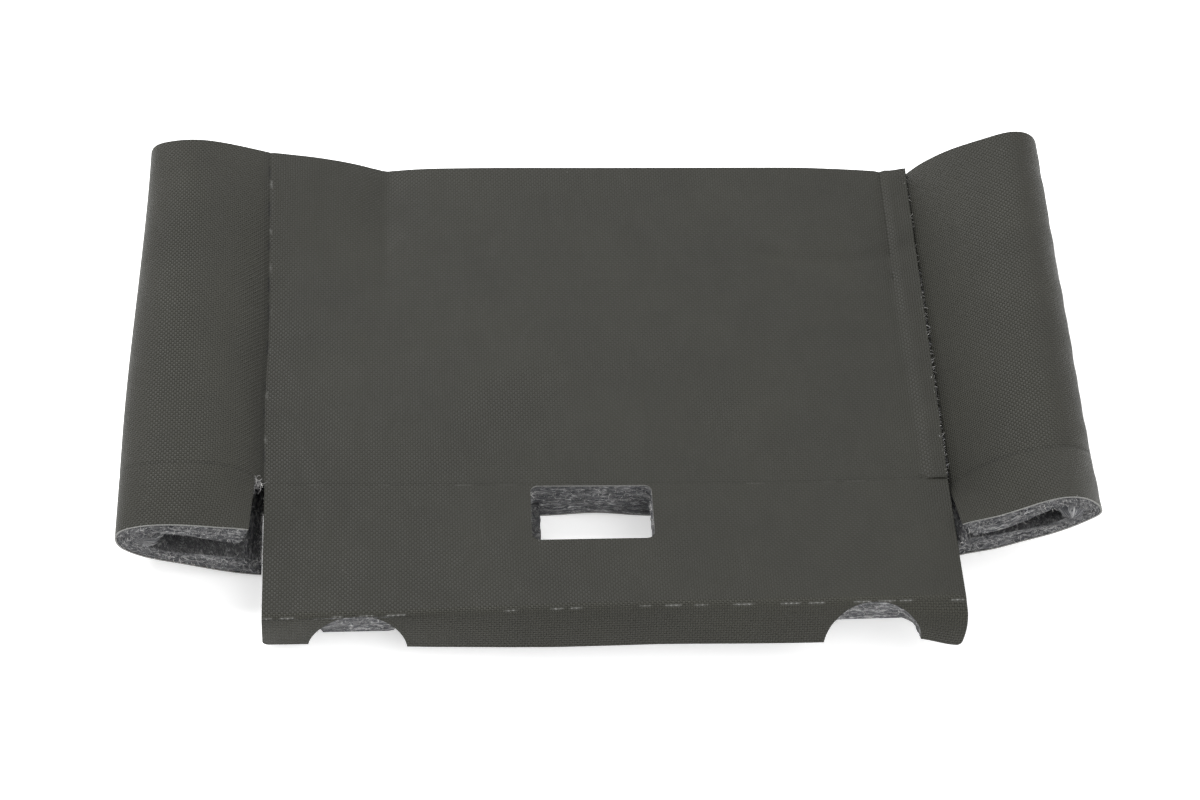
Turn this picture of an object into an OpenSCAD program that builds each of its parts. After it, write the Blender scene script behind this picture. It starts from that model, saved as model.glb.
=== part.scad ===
// Felt-lined folding protector sleeve, stored flat: a carton-like die-cut wrap of
// coated fabric laminated on thick felt.  Millimetres, +X right, +Y to the back, +Z up.
// The back wall lies on the ground, the front wall lies on top of it, and each side
// wall is folded at its middle into a wing.

/* [Walls] */
// Width of the front and back walls between their corner creases
wall_w = 208; // [150:1:260]
// Length of the walls from the end crease to the open end
wall_l = 127; // [80:1:180]
// Total thickness of the laminate
pad_t = 8; // [5:0.5:12]
// Thickness of the coated fabric skin
skin_t = 0.6; // [0.3:0.1:1.2]
// Gap between the front and back walls at the left creases
layer_gap = 0.8; // [0.4:0.1:2]
// How much higher the front wall lies at the seam side
seam_lift = 3.2; // [0:0.1:6]
// Clearance between panels that fold against each other
fold_gap = 0.3; // [0.2:0.05:0.6]

/* [Side walls] */
// Reach of each folded side wall beyond the corner creases
wing_reach = 41.6; // [30:0.1:55]
// Height of the left wing tip
left_tip_z = 23.5; // [18:0.1:28]
// Height of the right wing tip
right_tip_z = 28.8; // [24:0.1:32]
// Outward bulge of the left lower half
left_lower_bulge = 7.2; // [1:0.1:8]
// Outward bulge of the left upper half
left_upper_bulge = 8.7; // [6:0.1:12]
// Outward bulge of the right lower half
right_lower_bulge = 0.6; // [0:0.1:4]
// Outward bulge of the right upper half
right_upper_bulge = 11; // [9:0.1:13]
// Tilt of the plane where the two halves of a wing meet at its tip
parting_tilt = 10; // [0:1:15]
// How far the two halves are cut to that plane, measured in from the tip
parting_reach = 19; // [10:1:24]

/* [Lid and tuck] */
// Length of the lid from its crease to the tuck fold
lid_l = 47.5; // [30:0.5:70]
// Upward tilt of the lid when the sleeve lies flat
lid_tilt = 5.5; // [0:0.5:15]
// Length of the tuck flap
tuck_l = 12.8; // [8:0.1:25]
// Slope of the tuck flap below horizontal
tuck_drop = 56; // [30:1:80]
// Window width
window_w = 37; // [20:1:60]
// Window length from the crease
window_l = 22; // [10:1:35]
// Window corner radius
window_r = 3; // [1:0.5:8]
// Window centre, measured from the middle of the lid
window_x = -5.1; // [-40:0.1:40]
// Radius of the two finger notches in the tuck flap
notch_r = 14; // [6:0.5:20]
// Distance of each finger notch from the middle of the lid
notch_x = 75; // [40:1:90]

/* [Short end flaps] */
// Length of the dust flaps and of the back tabs
flap_l = 22; // [10:1:40]
// Width of the notch between the two back tabs
tab_notch_w = 37; // [15:1:60]
// Notch centre, measured from the middle of the back wall
tab_notch_x = -1.7; // [-30:0.1:30]
// Slot between the left dust flaps and the lid
left_slot = 4.6; // [4.6:0.2:8]
// Slot between the right dust flaps and the lid
right_slot = 4.6; // [4.6:0.2:8]

/* [Seam] */
// Width of the thinned lap that carries the seam
lap_w = 13; // [8:0.5:25]
// Thickness of the thinned lap
lap_t = 2.3; // [1:0.1:4]
// Width of the adhesive strip
glue_w = 9.5; // [4:0.5:20]
// Thickness of the adhesive strip
glue_t = 0.3; // [0.1:0.1:0.8]

/* [Hidden] */
$fn = 48;

felt_colour = [0.36, 0.36, 0.37];
skin_colour = [0.17, 0.17, 0.15];
glue_colour = [0.75, 0.73, 0.66];

half_gap = fold_gap / 2;
tab_inset = pad_t + 2 * fold_gap;
// Set-back of a skin's edge from a crease that folds to a right angle
skin_edge = skin_t + half_gap;
half_w = wall_w / 2;
front_z = 2 * pad_t + layer_gap;
reach = lid_l * cos(lid_tilt) + tuck_l * cos(tuck_drop);
crease_y = (reach - wall_l) / 2;
front_tilt = atan(seam_lift / wall_w);
front_w = wall_w / cos(front_tilt);

// Corner creases and wing tips in the cross-section, on the outer face of the skin
back_left = [-half_w, 0];
back_right = [half_w, 0];
front_left = [-half_w, front_z];
front_right = [half_w, front_z + seam_lift];
left_tip = [-half_w - wing_reach, left_tip_z];
right_tip = [half_w + wing_reach, right_tip_z];

// Directions of the felt edges beside the corner creases
left_lower_edge = 131;
left_upper_edge = 199;
right_lower_edge = 74;
right_upper_edge = -23;

// Shape of the bulge: how quickly it rises from the crease and ends at the tip
soft_rise = 1;
steep_rise = 0.75;
tip_rise = 0.6;
steps = 14;
far = 400;

// Bulge height along a half wall, 0 at both ends and 1 at its highest
function swell(t, a, b) =
    pow(t, a) * pow(1 - t, b) / (pow(a / (a + b), a) * pow(b / (a + b), b));

// Unit vector square to the line p to q, turned clockwise
function square_to(p, q) = [q[1] - p[1], p[0] - q[0]] / norm(q - p);

// Outer line of a half wall, moved inward by depth
function half_line(p, q, side, bulge, rise, depth) = [
    for (i = [0 : steps])
        let (t = i / steps)
        p + t * (q - p)
            + side * square_to(p, q) * (depth - bulge * swell(t, rise, tip_rise))
];

function backwards(v) = [for (i = [len(v) - 1 : -1 : 0]) v[i]];

// Everything on one side of a line through p at angle a, less half the fold gap
module beside(p, a, side) {
    translate(p)
        rotate(a)
            translate([-far, side > 0 ? half_gap : -far - half_gap])
                square([2 * far, far]);
}

// The strip beyond the plane where a half wall meets the other half, near their tip
module across_parting(q, upper) {
    inward = q[0] < 0 ? 1 : -1;
    translate(q)
        rotate(-inward * parting_tilt)
            translate([
                inward > 0 ? -far : -parting_reach,
                upper ? half_gap - far : -half_gap
            ])
                square([far + parting_reach, far]);
}

// Cross-section of one layer of a half wall between two depths
module half_section(p, q, side, bulge, rise, d0, d1, edge, edge_side) {
    difference() {
        intersection() {
            polygon(concat(
                half_line(p, q, side, bulge, rise, d0),
                backwards(half_line(p, q, side, bulge, rise, d1))
            ));
            beside(p, edge, edge_side);
        }
        across_parting(q, rise == steep_rise);
    }
}

module left_lower_section(d0, d1) {
    half_section(back_left, left_tip, 1, left_lower_bulge, soft_rise, d0, d1,
        left_lower_edge, 1);
}

module left_upper_section(d0, d1) {
    half_section(front_left, left_tip, -1, left_upper_bulge, steep_rise, d0, d1,
        left_upper_edge, -1);
}

module right_lower_section(d0, d1) {
    half_section(back_right, right_tip, -1, right_lower_bulge, soft_rise, d0, d1,
        right_lower_edge, -1);
}

module right_upper_section(d0, d1) {
    half_section(front_right, right_tip, 1, right_upper_bulge, steep_rise, d0, d1,
        right_upper_edge, 1);
}

// Pull a cross-section out from the end crease to the open end
module along_wall() {
    translate([0, crease_y + wall_l, 0])
        rotate([90, 0, 0])
            linear_extrude(height = wall_l)
                children();
}

// Pull a cross-section forward from the end crease, kept outside the corner crease
module along_flap(side, slot) {
    translate([0, crease_y - fold_gap, 0])
        rotate([90, 0, 0])
            linear_extrude(height = flap_l - fold_gap)
                intersection() {
                    children();
                    translate([side > 0 ? half_w + slot : -half_w - slot - far, -far])
                        square([far, 2 * far]);
                }
}

// Flat wall core with its side edges mitred so that it can stand square to its neighbours
module mitred_core(w, up) {
    low = up > 0 ? skin_t : -skin_t;
    high = up > 0 ? pad_t : -pad_t;
    polygon([
        [skin_edge, low],
        [w - skin_edge, low],
        [w - pad_t - half_gap, high],
        [pad_t + half_gap, high]
    ]);
}

// Move into the plane of the front wall, origin at its left end of the end crease
module front_frame() {
    translate([-half_w, crease_y, front_z])
        rotate([0, -front_tilt, 0])
            children();
}

// Move onto the lid, origin at the left end of its crease
module lid_frame() {
    front_frame()
        rotate([-lid_tilt, 0, 0])
            children();
}

// Move onto the tuck flap, origin at the left end of its fold
module tuck_frame() {
    lid_frame()
        translate([0, -lid_l, 0])
            rotate([lid_tilt + tuck_drop, 0, 0])
                children();
}

// Outline of the window, open to the crease
module window_outline() {
    x0 = front_w / 2 + window_x - window_w / 2;
    translate([x0, -window_l + window_r])
        square([window_w, window_l]);
    translate([x0 + window_r, -window_l])
        square([window_w - 2 * window_r, window_l]);
    translate([x0 + window_r, -window_l + window_r])
        circle(r = window_r);
    translate([x0 + window_w - window_r, -window_l + window_r])
        circle(r = window_r);
}

// Finger notches in the tuck flap, running up to its fold
module notch_outline() {
    for (side = [-1, 1])
        translate([front_w / 2 + side * notch_x, -notch_r - 2 * fold_gap])
            circle(r = notch_r);
}

// Lengthwise section of a panel core with one end mitred, drawn as [length, height]
module core_profile(l, start_cut, end_cut) {
    polygon([
        [start_cut * skin_t + half_gap, -skin_t],
        [l - end_cut * skin_t - half_gap, -skin_t],
        [l - end_cut * pad_t - half_gap, -pad_t],
        [start_cut * pad_t + half_gap, -pad_t]
    ]);
}

// Panel core in the plane of its frame: a lengthwise section across the full width,
// with both side edges mitred
module panel_core(l, start_cut, end_cut) {
    intersection() {
        rotate([90, 0, -90])
            mirror([0, 0, 1])
                linear_extrude(height = front_w)
                    core_profile(l, start_cut, end_cut);
        rotate([90, 0, 0])
            linear_extrude(height = l)
                mitred_core(front_w, -1);
    }
}

// Back tab, set in at its outer end to clear the side walls when they stand up
module tab_blank(side, z0, t) {
    notch_edge = tab_notch_x + side * tab_notch_w / 2;
    outer_edge = side * (half_w - tab_inset);
    x0 = min(notch_edge, outer_edge);
    x1 = max(notch_edge, outer_edge);
    translate([x0, crease_y - flap_l, z0])
        cube([x1 - x0, flap_l - fold_gap, t]);
}

module back_wall_felt() {
    color(felt_colour)
        along_wall()
            translate([-half_w, 0])
                mitred_core(wall_w, 1);
}

module back_wall_skin() {
    color(skin_colour)
        translate([-half_w + skin_edge, crease_y, 0])
            cube([wall_w - 2 * skin_edge, wall_l, skin_t]);
}

module front_wall_felt() {
    color(felt_colour)
        front_frame()
            translate([0, wall_l, 0])
                rotate([90, 0, 0])
                    linear_extrude(height = wall_l)
                        mitred_core(front_w, -1);
}

module front_wall_skin() {
    color(skin_colour)
        front_frame()
            translate([skin_edge, 0, -skin_t])
                cube([front_w - 2 * skin_edge, wall_l, skin_t]);
}

module left_lower_felt() {
    color(felt_colour)
        along_wall()
            left_lower_section(skin_t, pad_t);
}

module left_lower_skin() {
    color(skin_colour)
        along_wall()
            left_lower_section(0, skin_t);
}

module left_upper_felt() {
    color(felt_colour)
        along_wall()
            left_upper_section(skin_t, pad_t);
}

module left_upper_skin() {
    color(skin_colour)
        along_wall()
            left_upper_section(0, skin_t);
}

module right_lower_felt() {
    color(felt_colour)
        along_wall()
            right_lower_section(skin_t, pad_t);
}

module right_lower_skin() {
    color(skin_colour)
        along_wall()
            right_lower_section(0, skin_t);
}

module right_upper_felt() {
    color(felt_colour)
        along_wall()
            right_upper_section(skin_t, pad_t);
}

module right_upper_skin() {
    color(skin_colour)
        along_wall()
            right_upper_section(0, skin_t);
}

module seam_glue() {
    color(glue_colour)
        front_frame()
            translate([front_w - pad_t - glue_w - 2, 2, -pad_t - glue_t])
                cube([glue_w, wall_l - 4, glue_t]);
}

module seam_lap() {
    color(felt_colour)
        front_frame()
            translate([front_w - pad_t - lap_w - 1, 0, -pad_t - glue_t - lap_t])
                cube([lap_w, wall_l, lap_t]);
}

module lid_felt() {
    color(felt_colour)
        lid_frame()
            difference() {
                panel_core(lid_l, 0, 1);
                translate([0, 0, -2 * pad_t])
                    linear_extrude(height = 3 * pad_t)
                        window_outline();
            }
}

module lid_skin() {
    color(skin_colour)
        lid_frame()
            difference() {
                translate([half_gap, -lid_l + skin_edge, -skin_t])
                    cube([front_w - fold_gap, lid_l - skin_edge - half_gap, skin_t]);
                translate([0, 0, -pad_t])
                    linear_extrude(height = 2 * pad_t)
                        window_outline();
            }
}

module tuck_felt() {
    color(felt_colour)
        tuck_frame()
            difference() {
                panel_core(tuck_l, 1, 0);
                translate([0, 0, -2 * pad_t])
                    linear_extrude(height = 3 * pad_t)
                        notch_outline();
            }
}

module tuck_skin() {
    color(skin_colour)
        tuck_frame()
            difference() {
                translate([half_gap, -tuck_l, -skin_t])
                    cube([front_w - fold_gap, tuck_l - skin_edge, skin_t]);
                translate([0, 0, -pad_t])
                    linear_extrude(height = 2 * pad_t)
                        notch_outline();
            }
}

module left_lower_dust_felt() {
    color(felt_colour)
        along_flap(-1, left_slot)
            left_lower_section(skin_t, pad_t);
}

module left_lower_dust_skin() {
    color(skin_colour)
        along_flap(-1, left_slot)
            left_lower_section(0, skin_t);
}

module left_upper_dust_felt() {
    color(felt_colour)
        along_flap(-1, left_slot)
            left_upper_section(skin_t, pad_t);
}

module left_upper_dust_skin() {
    color(skin_colour)
        along_flap(-1, left_slot)
            left_upper_section(0, skin_t);
}

module right_lower_dust_felt() {
    color(felt_colour)
        along_flap(1, right_slot)
            right_lower_section(skin_t, pad_t);
}

module right_lower_dust_skin() {
    color(skin_colour)
        along_flap(1, right_slot)
            right_lower_section(0, skin_t);
}

module right_upper_dust_felt() {
    color(felt_colour)
        along_flap(1, right_slot)
            right_upper_section(skin_t, pad_t);
}

module right_upper_dust_skin() {
    color(skin_colour)
        along_flap(1, right_slot)
            right_upper_section(0, skin_t);
}

module left_tab_felt() {
    color(felt_colour)
        tab_blank(-1, skin_t, pad_t - skin_t);
}

module left_tab_skin() {
    color(skin_colour)
        tab_blank(-1, 0, skin_t);
}

module right_tab_felt() {
    color(felt_colour)
        tab_blank(1, skin_t, pad_t - skin_t);
}

module right_tab_skin() {
    color(skin_colour)
        tab_blank(1, 0, skin_t);
}

back_wall_felt();
back_wall_skin();
front_wall_felt();
front_wall_skin();
left_lower_felt();
left_lower_skin();
left_upper_felt();
left_upper_skin();
right_lower_felt();
right_lower_skin();
right_upper_felt();
right_upper_skin();
seam_lap();
seam_glue();
lid_felt();
lid_skin();
tuck_felt();
tuck_skin();
left_lower_dust_felt();
left_lower_dust_skin();
left_upper_dust_felt();
left_upper_dust_skin();
right_lower_dust_felt();
right_lower_dust_skin();
right_upper_dust_felt();
right_upper_dust_skin();
left_tab_felt();
left_tab_skin();
right_tab_felt();
right_tab_skin();
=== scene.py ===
import math

import bmesh
import bpy
import numpy as np
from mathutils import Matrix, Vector
from mathutils.geometry import delaunay_2d_cdt


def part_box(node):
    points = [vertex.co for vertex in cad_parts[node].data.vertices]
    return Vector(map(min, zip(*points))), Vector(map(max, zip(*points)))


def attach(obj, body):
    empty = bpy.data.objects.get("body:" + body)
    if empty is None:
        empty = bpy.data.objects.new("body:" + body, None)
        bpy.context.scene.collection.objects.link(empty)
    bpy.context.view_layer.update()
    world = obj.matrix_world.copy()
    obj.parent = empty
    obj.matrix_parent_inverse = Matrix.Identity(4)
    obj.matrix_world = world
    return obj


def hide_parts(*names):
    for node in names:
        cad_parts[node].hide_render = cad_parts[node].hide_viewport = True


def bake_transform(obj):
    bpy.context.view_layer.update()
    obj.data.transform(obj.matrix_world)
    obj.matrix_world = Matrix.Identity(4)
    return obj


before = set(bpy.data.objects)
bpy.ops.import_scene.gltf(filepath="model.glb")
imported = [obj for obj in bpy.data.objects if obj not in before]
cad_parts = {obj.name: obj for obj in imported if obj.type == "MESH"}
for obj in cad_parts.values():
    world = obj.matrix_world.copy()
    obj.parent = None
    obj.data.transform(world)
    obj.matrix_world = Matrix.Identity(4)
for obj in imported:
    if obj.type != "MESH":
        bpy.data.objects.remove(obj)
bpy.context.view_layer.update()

MM = 0.001


def box_mm(node):
    low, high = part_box(node)
    return np.array(low) / MM, np.array(high) / MM


# ---------------------------------------------------------------- sizes, mm
front_low, front_high = box_mm("front_wall_skin")
HALF_W = 104.0                       # half of a broad wall, crease to crease
CREASE_Y = float(front_low[1])       # end crease of the walls
BACK_Y = float(front_high[1])        # open end
SKIN = 0.6                           # coated fabric
PAD = 8.0                            # felt and fabric together
STRIP = 2.2                          # half width of the fabric that bends at a crease
LID_STRIP = 0.05                     # the same on the lid side of its crease: the window is next to it
LID_L = 47.5                         # lid, crease to tuck fold
TUCK_L = 12.8                        # tuck, fold to free edge
TUCK_CORNER = {-1: 1.8, 1: 1.3}      # rounding of the tuck's left and right corners
TUCK_IN = math.radians(28.5)         # the tuck folds in this far from rest
NOTCH_R = 14.7                       # finger notches: radius of the cut
NOTCH_X = (-75.6, 76.6)
WINDOW = (-23.6, 13.2, 0.2, 21.1)    # its two x, then its near and far edge from the crease
WINDOW_R = 2.4
FLAP_L = 22.0                        # dust flaps, crease to free edge
START = {"left_upper": STRIP, "left_lower": STRIP, "right_upper": 6.0, "right_lower": STRIP}   # bent strip's end
MITRE = 0.9                          # felt cut back at the long creases, per mm of depth
SLOT = {"left_upper": 4.6, "left_lower": 0.6, "right_upper": 1.0, "right_lower": 0.8}   # dust flaps' inner ends
BAND = 7.6                           # width of the glued band at the seam
lap_low, lap_high = box_mm("seam_lap")
LAP = float(lap_low[0]), float(lap_high[0])
LAP_D = 5.1                          # felt left above the lap

# Sections of the side walls: x, z from the crease out to the middle fold.
# Each table has the open end, the end crease and the dust flap's free edge, in that order.
LEFT_UPPER = (
    ((-104, 24), (-110.5, 25.9), (-117, 27.7), (-123.3, 29.1), (-129.6, 29.5), (-136, 28.5),
     (-140.6, 26.3), (-142.2, 23), (-142.3, 20)),
    ((-104, 16.9), (-106, 20.3), (-109.5, 24.2), (-116, 27.5), (-126.6, 29), (-134, 28.9),
     (-141, 27.6), (-145.6, 24.6), (-146.8, 21)),
    ((-104, 23.7), (-107, 25.4), (-115, 26.9), (-122, 27.8), (-131, 28.4), (-137, 28),
     (-142.7, 26.5), (-146.3, 24), (-147.2, 21)),
)
LEFT_LOWER = (
    ((-104, 0), (-111, 1), (-120, 3.5), (-129, 6.5), (-136, 10), (-140, 13.5), (-142, 17)),
    ((-104, 0.4), (-111, 1.2), (-120, 3.2), (-129, 6.2), (-137, 9.3), (-142, 12.4), (-145.8, 16.5)),
    ((-104, 1.2), (-111, 2.2), (-120, 4.6), (-129, 7.6), (-137.6, 10.5), (-142.6, 13.2), (-146.4, 17)),
)
RIGHT_UPPER = (
    ((104, 14.5), (108, 19.5), (111.4, 22.7), (117.3, 27.3), (123.4, 30.8), (129.5, 33.9),
     (135.7, 36.2), (140.4, 35.8), (143.4, 33.6), (145.2, 30), (145.6, 26)),
    ((104, 15.5), (106.5, 18.5), (110, 23), (114.4, 27.5), (119, 31), (124.6, 34.2),
     (131, 36.3), (138.6, 36.9), (143.3, 35), (145.8, 32), (146.3, 29)),
    ((104, 27.3), (106, 28.6), (112.7, 31.4), (121.6, 36.1), (128, 39.8), (133, 41.7),
     (137.6, 41.9), (141.4, 40.5), (144.3, 38), (145.6, 36), (146, 34)),
)
RIGHT_LOWER = (
    ((104, 0), (110, 3), (118, 8), (126, 13), (134, 18), (140, 21), (144, 23.4)),
    ((104, 4), (110, 6.5), (118, 10), (126, 14.5), (134, 19), (140, 22.6), (144.6, 26)),
    ((104, 10), (109, 12), (115.5, 14), (124, 18.2), (132.5, 22.5), (138, 26), (143.4, 30.4)),
)

# Height of the front wall along its two ends, the lid's twist and the tuck's slope.
TOP_FRONT = ((-104, 0, 60, 104), (17.0, 17.3, 18.2, 20.6))
TOP_BACK = ((-104, -66, -49, -30, 3, 36, 69, 86, 96, 104), (15.2, 15.6, 16, 16.5, 16.9, 17.3, 17.7, 16.9, 16, 15.9))
TOP_RISE = ((-104, -98, -91, -85, -78, -72, -67, -62, -52, 104), (8.6, 7.4, 6.4, 5.0, 3.1, 0.9, -1.5, -0.6, 0, 0))
LID_TILT = ((-104, -96, -76, -65, -47, -32, -19, -5, 11, 30, 60, 77, 98, 104),
            (-1.0, -0.8, 0.5, 1.0, 2.5, 3.6, 4.4, 5.2, 5.8, 6.0, 6.4, 6.2, 5.6, 5.5))
TUCK_SLOPE = ((-104, -96, -76, -65, -47, -32, -19, 0, 30, 60, 77, 90, 104),
              (88, 87, 83, 79, 72, 66, 63, 62, 60, 58, 57, 54, 46))


# ---------------------------------------------------------------- small maths
def ease(t):
    t = np.clip(t, 0, 1)
    return t * t * (3 - 2 * t)


def table(pair, x):
    """Reads a table smoothly: the mean of a few nearby linear readings."""
    return sum(np.interp(x + k, *pair) for k in (-4, -2, 0, 2, 4)) / 5


def sway(a, b, size, seed):
    """A gentle, seeded unevenness: a few crossed waves near the given size."""
    r = np.random.default_rng(seed)
    total = 0
    for _ in range(5):
        angle, phase, length = r.uniform(0, math.pi), r.uniform(0, 6.28), size * r.uniform(0.7, 1.6)
        total = total + np.sin((a * math.cos(angle) + b * math.sin(angle)) * 6.283 / length + phase)
    return total / 5


def spline(points, parts):
    """Natural cubic through 2-D points, read at the given chord positions."""
    p = np.array(points, float)
    t = np.concatenate([[0], np.cumsum(np.linalg.norm(np.diff(p, axis=0), axis=1))])
    n, h = len(p), np.diff(t)
    a, r = np.eye(n), np.zeros((n, 2))
    for i in range(1, n - 1):
        a[i, i - 1:i + 2] = h[i - 1], 2 * (h[i - 1] + h[i]), h[i]
        r[i] = 6 * ((p[i + 1] - p[i]) / h[i] - (p[i] - p[i - 1]) / h[i - 1])
    m = np.linalg.solve(a, r)
    s = np.array(parts(t))
    k = np.clip(np.searchsorted(t, s) - 1, 0, n - 2)
    u, v, hk = (t[k + 1] - s)[:, None], (s - t[k])[:, None], h[k][:, None]
    return (m[k] * u ** 3 + m[k + 1] * v ** 3) / (6 * hk) + (p[k] / hk - m[k] * hk / 6) * u + (
        p[k + 1] / hk - m[k + 1] * hk / 6) * v


# ---------------------------------------------------------------- where each sheet lies
def along_wall(y):
    """0 at the end crease, 1 at the open end."""
    return (y - CREASE_Y) / (BACK_Y - CREASE_Y)


def top_z(x, y):
    """The upper face of the front wall."""
    t = along_wall(y)
    z = (1 - t) * table(TOP_FRONT, x) + t * table(TOP_BACK, x)
    z = z + table(TOP_RISE, x) * ease((y - 17) / (BACK_Y - 12)) ** 1.2
    return z + 0.22 * sway(x, y, 70, 3) * ease((x + 104) / 12) * ease((104 - x) / 12)


def waver(x, y):
    """The left crease line isn't quite straight."""
    return 0.7 * sway(y, y * 0, 60, 5) * dent(x + HALF_W, 9.0) * ease((y - CREASE_Y) / 20)


def dent(distance, width):
    """A smooth bell: 1 on a line and about nothing two widths away."""
    return np.exp(-(distance / width) ** 2)


def front_place(x, y, d):
    edge = HALF_W - BAND - 1.2 * ease(along_wall(y))
    band = 0.5 * ease((x - edge) / 1.2) - 0.42 * dent(x - edge, 1.0) + 0.14 * sway(x, y, 5, 17) * ease((x - edge) / 1.5)
    arc_dent = 0.495 * dent(np.hypot((x - 74) / 1.5, y - 78) - 27, 2.6) * ease((75 - y) / 22) * ease((x - 44) / 12)
    ridge_foot = 0.5 * dent(x + 66.7, 1.9) * ease((y - 14) / 40)
    lifted_corner = 1.3 * np.exp(-((x - HALF_W) ** 2 + (y - BACK_Y) ** 2) / 14.0)
    creases = 0.14 * dent(y - CREASE_Y, 0.75) + 0.25 * dent(x + HALF_W, 0.8)
    z = top_z(x, y) + band - arc_dent - ridge_foot + lifted_corner - creases
    return np.stack([x + waver(x, y), y, z - d], -1)


def cut_back(x, d):
    """Felt inside a long crease is cut back with depth, so the corner can close."""
    near = HALF_W - 26
    back = MITRE * np.maximum(d - SKIN, 0) * np.clip((np.abs(x) - near) / 26, 0, 1)
    return x - np.sign(x) * back


def front_pad_place(x, y, d):
    """The felt is thinned where the seam's lap is glued in beneath it."""
    x = cut_back(x, d)
    lap = ease((x - LAP[0] + 1.5) / 2) * ease((LAP[1] + 1.5 - x) / 2)
    return front_place(x, y, np.where(d > SKIN, SKIN + (d - SKIN) * (1 - (1 - LAP_D / (PAD - SKIN)) * lap), d))


def wing_curves(upper, lower):
    out = []
    for up, low in zip(upper, lower):
        loop = list(up) + list(low[::-1])
        cut = len(up) - 1
        out.append((
            spline(loop, lambda t: np.linspace(0, t[cut], 65)),
            spline(loop, lambda t: np.linspace(t[-1], t[cut], 65)),
        ))
    return out


CURVES = {"left": wing_curves(LEFT_UPPER, LEFT_LOWER), "right": wing_curves(RIGHT_UPPER, RIGHT_LOWER)}
FRACTIONS = np.linspace(0, 1, 65)
WING_L = {(side, half): float(np.linalg.norm(np.diff(curves[1][i], axis=0), axis=1).sum())
          for side, curves in CURVES.items() for i, half in enumerate(("upper", "lower"))}


def wing_section(side, half, f, y):
    rows = [c[0 if half == "upper" else 1] for c in CURVES[side]]
    t = np.clip(along_wall(y), 0, 1)
    if side == "left":
        t = 0.35 * t + 0.65 * ease((t - 0.1) / 0.9)
    k = np.clip((CREASE_Y - y) / FLAP_L, 0, 1)
    weights = (t, (1 - t) * (1 - k), k)
    return [sum(w * np.interp(f, FRACTIONS, r[:, axis]) for w, r in zip(weights, rows)) for axis in (0, 1)]


def wing_place(side, half, u, y, d):
    f = u / WING_L[side, half]
    x, z = wing_section(side, half, f, y)
    x1, z1 = wing_section(side, half, np.clip(f + 0.015, 0, 1), y)
    x0, z0 = wing_section(side, half, np.clip(f - 0.015, 0, 1), y)
    tx, tz = x1 - x0, z1 - z0
    size = np.hypot(tx, tz) + 1e-9
    turn = (-1 if side == "left" else 1) * (1 if half == "upper" else -1)
    nx, nz = turn * tz / size, -turn * tx / size
    thin = 1 - 0.38 * ease((f - 0.12) / 0.55)
    deep = np.where(d > SKIN, SKIN + (d - SKIN) * thin, d)
    rise = 0.28 * sway(u, y, 34, 7 if side == "left" else 8) * ease(f * 4) * ease((1 - f) * 5)
    if half == "upper" and side == "left":
        gap = top_z(np.full_like(y, -HALF_W), y) - wing_section(side, half, f * 0, y)[1]
        z = z + gap * (1 - np.clip(f, 0, 1)) ** 4 * ease((y - CREASE_Y) / 0.1)
        x = x + waver(x, y)
    flute = 0.12 * dent(y - CREASE_Y, 0.5)
    wavy = 0.3 * sway(y, y * 0 + u * 0.1, 13, 15) * ease((f - 0.75) / 0.2) * (side == "right")
    out = deep + flute - rise - wavy
    mid = (wing_section(side, "upper", f, y)[1] + wing_section(side, "lower", f, y)[1]) / 2
    px, pz = x + nx * out, z + nz * out
    if half == "upper":
        pz = np.where(d > SKIN, np.maximum(pz, mid + 0.25), pz)
    else:
        pz = np.where(d > SKIN, np.minimum(pz, mid - 0.25), pz)
    return np.stack([px, y, pz], -1)


def bottom_z(x, y):
    near = ease((x - 46) / 58) * (1 - np.clip(along_wall(y), 0, 1)) ** 1.2
    ahead = np.clip((CREASE_Y - y) / FLAP_L, 0, 1)
    hump = 1.7 * np.exp(-((x + 3) / 11) ** 2) * ease((CREASE_Y + 16 - y) / 16) * (1 - ahead)
    return 4.0 * near + 0.3 * ahead + hump + 0.02


def back_place(x, y, d):
    return np.stack([x, y, bottom_z(x, y) + d], -1)


def back_pad_place(x, y, d):
    return back_place(cut_back(x, d), y, d)


def wing_pad_place(side, half, u, y, d):
    return wing_place(side, half, u + MITRE * np.maximum(d - SKIN, 0) * np.clip(1 - u / 26, 0, 1), y, d)


def lid_frame(x):
    tilt = np.radians(table(LID_TILT, x))
    y0 = np.full_like(x, CREASE_Y)
    z0 = top_z(x, y0)
    fold_y, fold_z = CREASE_Y - LID_L * np.cos(tilt), z0 + LID_L * np.sin(tilt)
    return tilt, z0, fold_y, fold_z, np.radians(table(TUCK_SLOPE, x))


def notch_start(x):
    """How far below the fold a finger notch begins, for each x."""
    out = np.full_like(x, TUCK_L)
    for c in NOTCH_X:
        dx = np.abs(x - c)
        out = np.where(dx < NOTCH_R, np.minimum(out, NOTCH_R - np.sqrt(np.maximum(NOTCH_R ** 2 - dx ** 2, 0))), out)
    return out


def mitre(d, tilt, slope):
    return np.maximum(d - SKIN, 0) * np.tan(np.minimum((slope + tilt + TUCK_IN) / 2, 0.92))


def lid_place(x, l, d):
    tilt, z0, _, _, slope = lid_frame(x)
    m = mitre(d, tilt, slope) * ease((notch_start(x) - 4) / 6)
    near = LID_L - 16
    l = np.where(l > near, near + (l - near) * (16 - m) / 16, l)
    sag = 0.35 * np.sin(np.clip(l / LID_L, 0, 1) * math.pi) * (1 + 0.5 * sway(x, l, 60, 9))
    down = d + 0.14 * np.exp(-(l / 0.75) ** 2) + sag * 0.5
    return np.stack([x, CREASE_Y - l * np.cos(tilt) - down * np.sin(tilt),
                     z0 + l * np.sin(tilt) - down * np.cos(tilt)], -1)


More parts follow.
